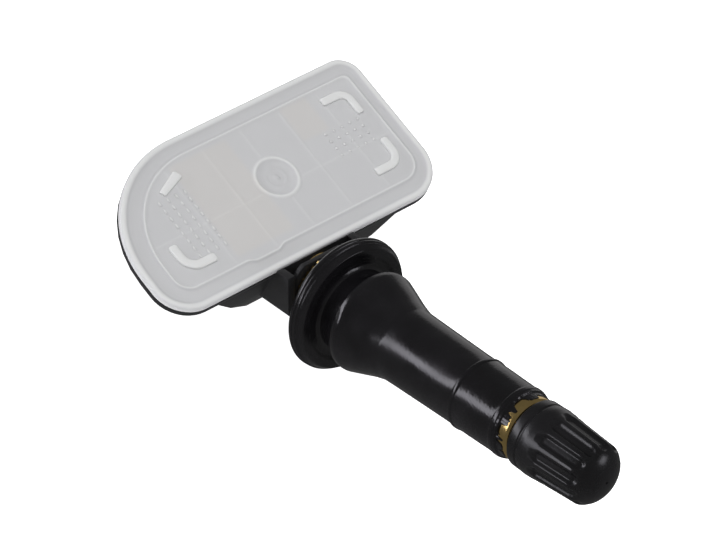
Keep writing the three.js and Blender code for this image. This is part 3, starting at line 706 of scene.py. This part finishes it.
block_of_marks = mark_tree()
MARK_HEIGHT = 0.24 * MM
MARKS = {
    # name: columns, rows, steps along X and Y, length, width, centre along X and Y, in mm
    "cover_dashes": (8, 4, 1.35, 1.5, 0.95, 0.42, 0.6, -13.4),
    "cover_pips": (4, 5, 1.3, 1.5, 0.5, 0.5, -0.5, 16.2),
}
for name, (columns, rows, step_x, step_y, length, width, at_x, at_y) in MARKS.items():
    mark_sizes = {
        "Columns": columns, "Rows": rows, "Step X": step_x * MM, "Step Y": step_y * MM, "Length": length * MM,
        "Width": width * MM, "Height": MARK_HEIGHT, "Centre X": at_x * MM + COVER_X, "Centre Y": at_y * MM,
        "Level": PANEL_LEVEL,
    }
    marks = bpy.data.objects.new(name, grown(name, block_of_marks, mark_sizes, cover_nylon))
    bpy.context.scene.collection.objects.link(marks)
    marks.data.materials.clear()
    # Their tops take the nylon's painted highlight, which paints the plate's highest parts paler.
    marks.data.materials.append(cover_nylon)
    shade(marks, 70)
    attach(marks, "sensor_and_valve")

# ---- Brass valve stem --------------------------------------------------------------------------
# One turned brass piece: a serrated foot in the cradle, a shaft inside the rubber, a polished collar
# at the rubber's end, and the rolled cap thread with the core's chamber bored down its middle.

spin = next(j for j in frame["joints"] if j["name"] == "cap_spin")
VALVE_AXIS = Vector(spin["axis"]).normalized()
STEM_TIP = 47.0 * MM
on_axis = Vector(spin["pos_m"])
tip_along = max((v.co - on_axis).dot(VALVE_AXIS) for v in frame["nodes"]["valve_stem"].data.vertices)
flange_centre = on_axis + VALVE_AXIS * (tip_along - STEM_TIP)
VALVE = Matrix.Translation(flange_centre) @ Matrix.Rotation(math.atan2(VALVE_AXIS.x, VALVE_AXIS.z), 4, "Y")


def rounded(profile, steps=4):
    """A profile of (radius, place along the axis, rounding) in mm, with its corners rounded."""
    points = []
    for i, (r, z, rounding) in enumerate(profile):
        here = Vector((r, z))
        if not rounding or i in (0, len(profile) - 1):
            points.append(here)
            continue
        before = Vector(profile[i - 1][:2]) - here
        after = Vector(profile[i + 1][:2]) - here
        cut = min(rounding, before.length * 0.45, after.length * 0.45)
        a, b = here + before.normalized() * cut, here + after.normalized() * cut
        for k in range(steps + 1):
            t = k / steps
            points.append(a.lerp(here, t).lerp(here.lerp(b, t), t))
    return points


def turned_mesh(name, points, segments):
    """The points turned about the valve's axis into a closed skin. Points on the axis become one vertex."""
    vertices, rows, faces = [], [], []
    for r, z in points:
        if r < 1e-6:
            rows.append([len(vertices)] * segments)
            vertices.append((0, 0, z * MM))
        else:
            rows.append(list(range(len(vertices), len(vertices) + segments)))
            for k in range(segments):
                angle = 2 * math.pi * k / segments
                vertices.append((r * MM * math.cos(angle), r * MM * math.sin(angle), z * MM))
    for a, b in zip(rows, rows[1:]):
        for i in range(segments):
            k = (i + 1) % segments
            face = []
            for corner in (a[i], a[k], b[k], b[i]):
                if corner not in face:
                    face.append(corner)
            if len(face) > 2:
                faces.append(face)
    return closed_mesh(name, vertices, faces, joined=1e-7)


def valve_piece(name, mesh, material, body="sensor_and_valve", angle=40):
    """Puts a mesh made on the valve's axis in its place, with its finish, on its body."""
    mesh.transform(VALVE)
    piece = bpy.data.objects.new(name, mesh)
    bpy.context.scene.collection.objects.link(piece)
    mesh.materials.clear()
    mesh.materials.append(material)
    shade(piece, angle)
    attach(piece, body)
    return piece


THREAD_ROOT = 3.5
THREAD_CREST = 3.85
THREAD_PITCH = 25.4 / 32
FOOT_RADIUS = 5.15
STEM_PROFILE = (
    # radius, place along the axis from the flange's widest circle, rounding
    (0, -5.85, 0), (FOOT_RADIUS - 0.3, -5.85, 0.1), (FOOT_RADIUS, -5.55, 0.1), (FOOT_RADIUS, -5.12, 0.05),
    (4.6, -5.12, 0.05), (4.6, -4.24, 0.05), (FOOT_RADIUS, -4.24, 0.05), (FOOT_RADIUS, -1.6, 0.1),
    (FOOT_RADIUS - 0.3, -1.3, 0.1), (3.2, -1.3, 0.05), (3.2, 36.0, 0.05), (4.55, 36.0, 0.08),
    (4.74, 36.25, 0.12), (4.74, 37.5, 0.15), (4.45, 37.88, 0.12), (THREAD_ROOT, 37.9, 0.1),
    (THREAD_ROOT, 46.7, 0.2), (3.3, 47.0, 0.1), (2.65, 47.0, 0.1), (2.5, 46.8, 0.1), (2.5, 41.6, 0.05),
    (2.2, 41.2, 0.05), (2.2, 28.4, 0.1), (1.3, 27.6, 0.1), (1.3, -3.5, 0), (0, -3.5, 0),
)
brass = SEALED["valve_brass"]
stem_mesh = turned_mesh("valve_stem_brass", rounded(STEM_PROFILE, 3), 96)
stem = valve_piece("valve_stem_brass", stem_mesh, brass)
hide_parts("valve_stem")


def helix_tree():
    """A rounded thread wound on a cylinder: one spiral swept by an oval that fades out at both ends."""
    sizes = {"Radius": 1.0, "Pitch": 1.0, "Turns": 1.0, "Start": 0.0, "Phase": 0.0, "Height": 1.0,
             "Half width": 1.0}
    tree, given, add, close = node_group("wound_thread", sizes)
    rise = add("ShaderNodeMath", {"operation": "MULTIPLY"}, i0=given["Turns"], i1=given["Pitch"])
    spiral = add("GeometryNodeCurveSpiral", Resolution=48, Rotations=given["Turns"],
                 Start_Radius=given["Radius"], End_Radius=given["Radius"], Height=rise.outputs[0])
    along = add("GeometryNodeSplineParameter").outputs["Factor"]
    back = add("ShaderNodeMath", {"operation": "SUBTRACT"}, i0=1.0, i1=along)
    nearest = add("ShaderNodeMath", {"operation": "MINIMUM"}, i0=along, i1=back.outputs[0])
    fade = add("ShaderNodeMapRange", Value=nearest.outputs[0])
    fade.inputs["From Max"].default_value = 0.05
    fade.inputs["To Min"].default_value = 0.12
    upright = add("GeometryNodeSetCurveNormal", {"mode": "Z_UP"}, Curve=spiral.outputs[0])
    tapered = add("GeometryNodeSetCurveRadius", Curve=upright.outputs[0], Radius=fade.outputs["Result"])
    oval = add("GeometryNodeCurvePrimitiveCircle", Resolution=10, Radius=1.0)
    size = add("ShaderNodeCombineXYZ", X=given["Height"], Y=given["Half width"], Z=1.0)
    shaped = add("GeometryNodeTransform", Geometry=oval.outputs[0], Scale=size.outputs[0])
    swept = add("GeometryNodeCurveToMesh", Curve=tapered.outputs[0], Profile_Curve=shaped.outputs[0],
                Fill_Caps=True)
    turn = add("ShaderNodeCombineXYZ", Z=given["Phase"])
    move = add("ShaderNodeCombineXYZ", Z=given["Start"])
    placed = add("GeometryNodeTransform", Geometry=swept.outputs[0], Translation=move.outputs[0],
                 Rotation=turn.outputs[0])
    close(placed.outputs[0])
    return tree


wound_thread = helix_tree()


def thread_phase(start, offset):
    """The turn that puts a helix with this start in step with the stem's thread, plus an offset in turns."""
    return -2 * math.pi * ((start / THREAD_PITCH) % 1 + offset)


STEM_THREAD_START = 38.6
stem_thread_sizes = {
    "Radius": THREAD_ROOT * MM, "Pitch": THREAD_PITCH * MM, "Turns": 9.8, "Start": STEM_THREAD_START * MM,
    "Phase": thread_phase(STEM_THREAD_START, 0.0), "Height": (THREAD_CREST - THREAD_ROOT) * MM,
    "Half width": 0.27 * MM,
}
stem_thread = grown("valve_stem_thread", wound_thread, stem_thread_sizes, brass)
valve_piece("valve_stem_thread", stem_thread, brass, angle=70)


def serration_tree():
    """Straight teeth round a cylinder."""
    sizes = {"Count": 1, "Radius": 1.0, "Depth": 1.0, "Length": 1.0, "Centre": 0.0}
    tree, given, add, close = node_group("ring_of_teeth", sizes)
    circle = add("GeometryNodeCurvePrimitiveCircle", Resolution=given["Count"], Radius=given["Radius"])
    points = add("GeometryNodeCurveToPoints", {"mode": "EVALUATED"}, Curve=circle.outputs[0])
    tooth = add("GeometryNodeMeshCylinder", Vertices=6, Radius=given["Depth"], Depth=given["Length"])
    ring = add("GeometryNodeInstanceOnPoints", Points=points.outputs["Points"],
               Instance=tooth.outputs["Mesh"])
    face = add("GeometryNodeInputPosition")
    angle = add("FunctionNodeAlignRotationToVector", {"axis": "X"}, Vector=face.outputs[0])
    turned_teeth = add("GeometryNodeRotateInstances", Instances=ring.outputs[0], Rotation=angle.outputs[0])
    move = add("ShaderNodeCombineXYZ", Z=given["Centre"])
    placed = add("GeometryNodeTransform", Geometry=turned_teeth.outputs[0], Translation=move.outputs[0])
    close(placed.outputs[0])
    return tree


ring_of_teeth = serration_tree()
foot_teeth_sizes = {"Count": 30, "Radius": FOOT_RADIUS * MM, "Depth": 0.33 * MM, "Length": 2.5 * MM,
                    "Centre": -2.85 * MM}
foot_teeth = grown("valve_foot_serrations", ring_of_teeth, foot_teeth_sizes, brass)
valve_piece("valve_foot_serrations", foot_teeth, brass, angle=20)

# ---- Rubber valve body -------------------------------------------------------------------------
# Black rubber moulded and bonded round the stem: a flange that seals inside the rim, the groove for
# the rim's edge, the bulge that snaps through the hole, and a long tapering barrel with one fine ring.

RUBBER_PROFILE = (
    # radius, place along the axis from the flange's widest circle, rounding
    (3.3, -1.0, 0), (8.7, -1.0, 0.3), (9.75, -0.35, 0.5), (10.0, 0.05, 0.2), (10.0, 0.42, 0.06),
    (9.84, 0.5, 0.06), (9.84, 0.66, 0.06), (9.97, 0.74, 0.08), (9.92, 1.02, 0.08), (9.72, 1.1, 0.05),
    (9.7, 1.22, 0.05), (9.74, 1.32, 0.06), (9.56, 1.5, 0.1), (9.2, 2.08, 0.12), (7.95, 2.1, 0.08),
    (7.8, 1.92, 0.08), (7.55, 1.65, 0.08), (6.6, 1.65, 0.2), (6.05, 2.0, 0.3), (6.0, 2.5, 0.3),
    (6.0, 5.1, 0.1), (6.9, 5.22, 0.15), (7.5, 5.5, 0.2), (7.58, 6.4, 0.3), (7.2, 7.5, 0.6), (6.7, 9.0, 0.5),
    (6.0, 11.0, 0.6), (5.5, 13.0, 0.25), (5.44, 15.0, 0.6), (5.26, 25.0, 0.6), (5.25, 27.05, 0.1),
    (5.43, 27.2, 0.1), (5.43, 27.62, 0.1), (5.28, 27.78, 0.1), (5.27, 30.0, 0.4), (5.2, 34.0, 0.3),
    (5.2, 34.8, 0.08), (5.28, 34.95, 0.08), (5.28, 35.55, 0.12), (5.1, 35.8, 0.08), (4.3, 35.8, 0.05),
    (3.3, 35.8, 0), (3.3, -1.0, 0),
)
rubber = moulded_plastic("valve_rubber", (0.0050, 0.0047, 0.0055), 0.18, 0.03, 0.35, 0.35, 0.45)
rubber_mesh = turned_mesh("rubber_valve_moulding", rounded(RUBBER_PROFILE, 4), 144)
rubber_body = valve_piece("rubber_valve_moulding", rubber_mesh, rubber, angle=30)
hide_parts("rubber_valve_body")

# ---- Moulding flash at the rubber's end --------------------------------------------------------
# Where the mould shut on the brass collar, a thin ragged skin of rubber was squeezed out over it. It is
# part of the rubber, stuck to the brass, and torn off unevenly.

FLASH_SIDES = 240
FLASH_REACH = 36.55
FLASH_TEAR = 1.3


def ragged(turn, fineness, seed):
    """A smooth uneven value that is back where it began after a full turn."""
    return noise.noise(Vector((math.cos(turn) * fineness, math.sin(turn) * fineness, seed)))


def flash_mesh():
    """A thin sleeve over the collar whose open edge is torn unevenly. Radius and place are in mm."""
    profile = []
    for k in range(FLASH_SIDES):
        turn = 2 * math.pi * k / FLASH_SIDES
        torn = ragged(turn, 3.2, 0.7)
        shreds = ragged(turn, 13.0, 4.1)
        reach = FLASH_REACH + FLASH_TEAR * max(-0.3, min(0.55, torn * 1.5 + shreds * 0.9))
        lump = 0.05 * shreds
        profile.append(((5.2, 35.6), (5.15 + lump, 35.95), (4.9 + lump, 36.15), (4.84 + lump * 0.5, reach),
                        (4.755, reach + 0.04), (4.5, reach), (4.5, 35.6)))
    vertices, faces = [], []
    count = len(profile[0])
    for k, ring in enumerate(profile):
        turn = 2 * math.pi * k / FLASH_SIDES
        vertices += [(r * MM * math.cos(turn), r * MM * math.sin(turn), z * MM) for r, z in ring]
        following = (k + 1) % FLASH_SIDES
        for i in range(count):
            j = (i + 1) % count
            faces.append((k * count + i, following * count + i, following * count + j, k * count + j))
    return closed_mesh("rubber_flash", vertices, faces)


valve_piece("rubber_flash", flash_mesh(), rubber, angle=40)

# ---- Valve core --------------------------------------------------------------------------------
# Screwed into the stem's chamber: a brass plug and barrel with a red gasket, and a sprung steel pin
# that carries the cup and seat seal at its lower end. Pressing the pin lets air through.

CORE_EDGE = 0.05 * MM
for node in ("core_plug", "core_barrel", "core_gasket", "core_spring"):
    finished_copy(node, CORE_EDGE)
for node in ("core_pin", "core_cup", "core_seat_seal"):
    finished_copy(node, CORE_EDGE, "core_pin")

# ---- Cap ---------------------------------------------------------------------------------------
# Black plastic sealing cap, moulded with twelve round-ended flutes for the fingers, a plain collar at
# its mouth, a domed tip, and the thread inside. A rubber washer lies at the bottom of its socket.

finished_copy("cap_seal", CORE_EDGE, "cap_seal")

CAP_PROFILE = (
    # radius, place along the axis from the flange's widest circle, rounding: the socket, mouth and collar
    (3.99, 46.2, 0), (3.99, 38.8, 0.1), (4.25, 38.5, 0.1), (4.25, 38.2, 0.05), (4.86, 38.2, 0.1),
    (5.06, 38.42, 0.12), (5.09, 39.7, 0.08), (4.98, 39.84, 0.05), (4.98, 40.02, 0.05), (5.11, 40.2, 0.08),
    (5.15, 41.0, 0.2), (5.08, 42.0, 0.2), (5.03, 43.0, 0.1),
)
SOCKET_END = ((0, 48.2), (1.6, 48.2), (1.6, 47.92), (3.65, 47.92), (3.65, 46.2), (3.99, 46.2))
TIP_DIMPLE = ((0.42, -0.03), (0.3, -0.1), (0.0, -0.14))
CAP_SHOULDER = 43.0
CAP_SHOULDER_RADIUS = 5.03
DOME_BASE = 49.0
DOME_RADIUS = 4.68
DOME_HEIGHT = 3.14
BODY_STEPS = 45
DOME_STEPS = 40
# everything farther out or nearer the tip than this is the cap's outer skin, which takes the flutes
SKIN_RADIUS = 4.3
SKIN_START = 48.6


def cap_points():
    """The cap's profile: from its socket round the mouth, up the body, over the dome and back inside."""
    points = rounded(CAP_PROFILE, 3)
    for k in range(1, BODY_STEPS + 1):
        share = k / BODY_STEPS
        radius = CAP_SHOULDER_RADIUS + (DOME_RADIUS - CAP_SHOULDER_RADIUS) * share
        points.append(Vector((radius, CAP_SHOULDER + (DOME_BASE - CAP_SHOULDER) * share)))
    for k in range(1, DOME_STEPS):
        angle = math.pi / 2 * k / DOME_STEPS
        points.append(Vector((DOME_RADIUS * math.cos(angle), DOME_BASE + DOME_HEIGHT * math.sin(angle))))
    points += [Vector((r, DOME_BASE + DOME_HEIGHT + z)) for r, z in TIP_DIMPLE]
    return points + [Vector(point) for point in SOCKET_END]


def cap_mesh():
    """The plain turned cap, whose outer skin is marked for the flutes."""
    mesh = turned_mesh("valve_cap_base", cap_points(), 288)
    outer = mesh.attributes.new("outer_skin", "FLOAT", "POINT")
    values = []
    for vertex in mesh.vertices:
        r, z = math.hypot(vertex.co.x, vertex.co.y) / MM, vertex.co.z / MM
        values.append(1.0 if r > SKIN_RADIUS or z > SKIN_START else 0.0)
    outer.data.foreach_set("value", values)
    return mesh


def flute_tree():
    """Sinks round-ended flutes in the skin of a turned body."""
    sizes = {"Count": 1, "Phase": 0.0, "Half width": 1.0, "Depth": 1.0, "Low end": 0.0, "High end": 0.0}
    tree, given, add, close = node_group("sunk_flutes", sizes)

    def maths(operation, a, b=0.0, c=0.0):
        return add("ShaderNodeMath", {"operation": operation}, i0=a, i1=b, i2=c).outputs[0]

    def hypotenuse(a, b):
        return maths("SQRT", maths("ADD", maths("MULTIPLY", a, a), maths("MULTIPLY", b, b)))

    axes = add("ShaderNodeSeparateXYZ", Vector=add("GeometryNodeInputPosition").outputs[0]).outputs
    angle = maths("SUBTRACT", maths("ARCTAN2", axes["Y"], axes["X"]), given["Phase"])
    pitch = maths("DIVIDE", 2 * math.pi, given["Count"])
    radius = hypotenuse(axes["X"], axes["Y"])
    share = maths("WRAP", angle, maths("MULTIPLY", pitch, 0.5), maths("MULTIPLY", pitch, -0.5))
    across = maths("MULTIPLY", share, radius)
    above = maths("MAXIMUM", maths("SUBTRACT", axes["Z"], given["High end"]), 0.0)
    below = maths("MAXIMUM", maths("SUBTRACT", given["Low end"], axes["Z"]), 0.0)
    ends = maths("ADD", above, below)
    off = maths("DIVIDE", hypotenuse(across, ends), given["Half width"])
    shape = add("ShaderNodeMapRange", {"interpolation_type": "SMOOTHERSTEP"}, Value=off)
    shape.inputs["From Min"].default_value = 0.3
    shape.inputs["From Max"].default_value = 1.0
    shape.inputs["To Min"].default_value = 1.0
    shape.inputs["To Max"].default_value = 0.0
    skin = add("GeometryNodeInputNamedAttribute", {"data_type": "FLOAT"}, Name="outer_skin")
    depth = maths("MULTIPLY", shape.outputs["Result"], given["Depth"])
    sink = maths("MULTIPLY", depth, skin.outputs["Attribute"])
    inward = add("ShaderNodeVectorMath", {"operation": "SCALE"}, i0=add("GeometryNodeInputNormal").outputs[0],
                 Scale=maths("MULTIPLY", sink, -1.0))
    moved = add("GeometryNodeSetPosition", Geometry=given["Geometry"], Offset=inward.outputs[0])
    close(moved.outputs[0])
    return tree


cap_plastic = moulded_plastic("cap_plastic", (0.0050, 0.0048, 0.0054), 0.28, 0.02, 0.5, 0.3)
flute_sizes = {"Count": 12, "Phase": math.radians(11.06), "Half width": 1.1 * MM, "Depth": 0.5 * MM,
               "Low end": 43.65 * MM, "High end": 49.7 * MM}
fluted_mesh = grown("valve_cap_moulding", flute_tree(), flute_sizes, cap_plastic, cap_mesh())
cap = valve_piece("valve_cap_moulding", fluted_mesh, cap_plastic, "valve_cap", angle=50)
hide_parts("valve_cap")

CAP_THREAD_START = 39.4
cap_thread_sizes = {
    "Radius": 3.98 * MM, "Pitch": THREAD_PITCH * MM, "Turns": 7.6, "Start": CAP_THREAD_START * MM,
    "Phase": thread_phase(CAP_THREAD_START, 0.5), "Height": 0.28 * MM, "Half width": 0.2 * MM,
}
cap_thread = grown("valve_cap_thread", wound_thread, cap_thread_sizes, cap_plastic)
valve_piece("valve_cap_thread", cap_thread, cap_plastic, "valve_cap", angle=70)
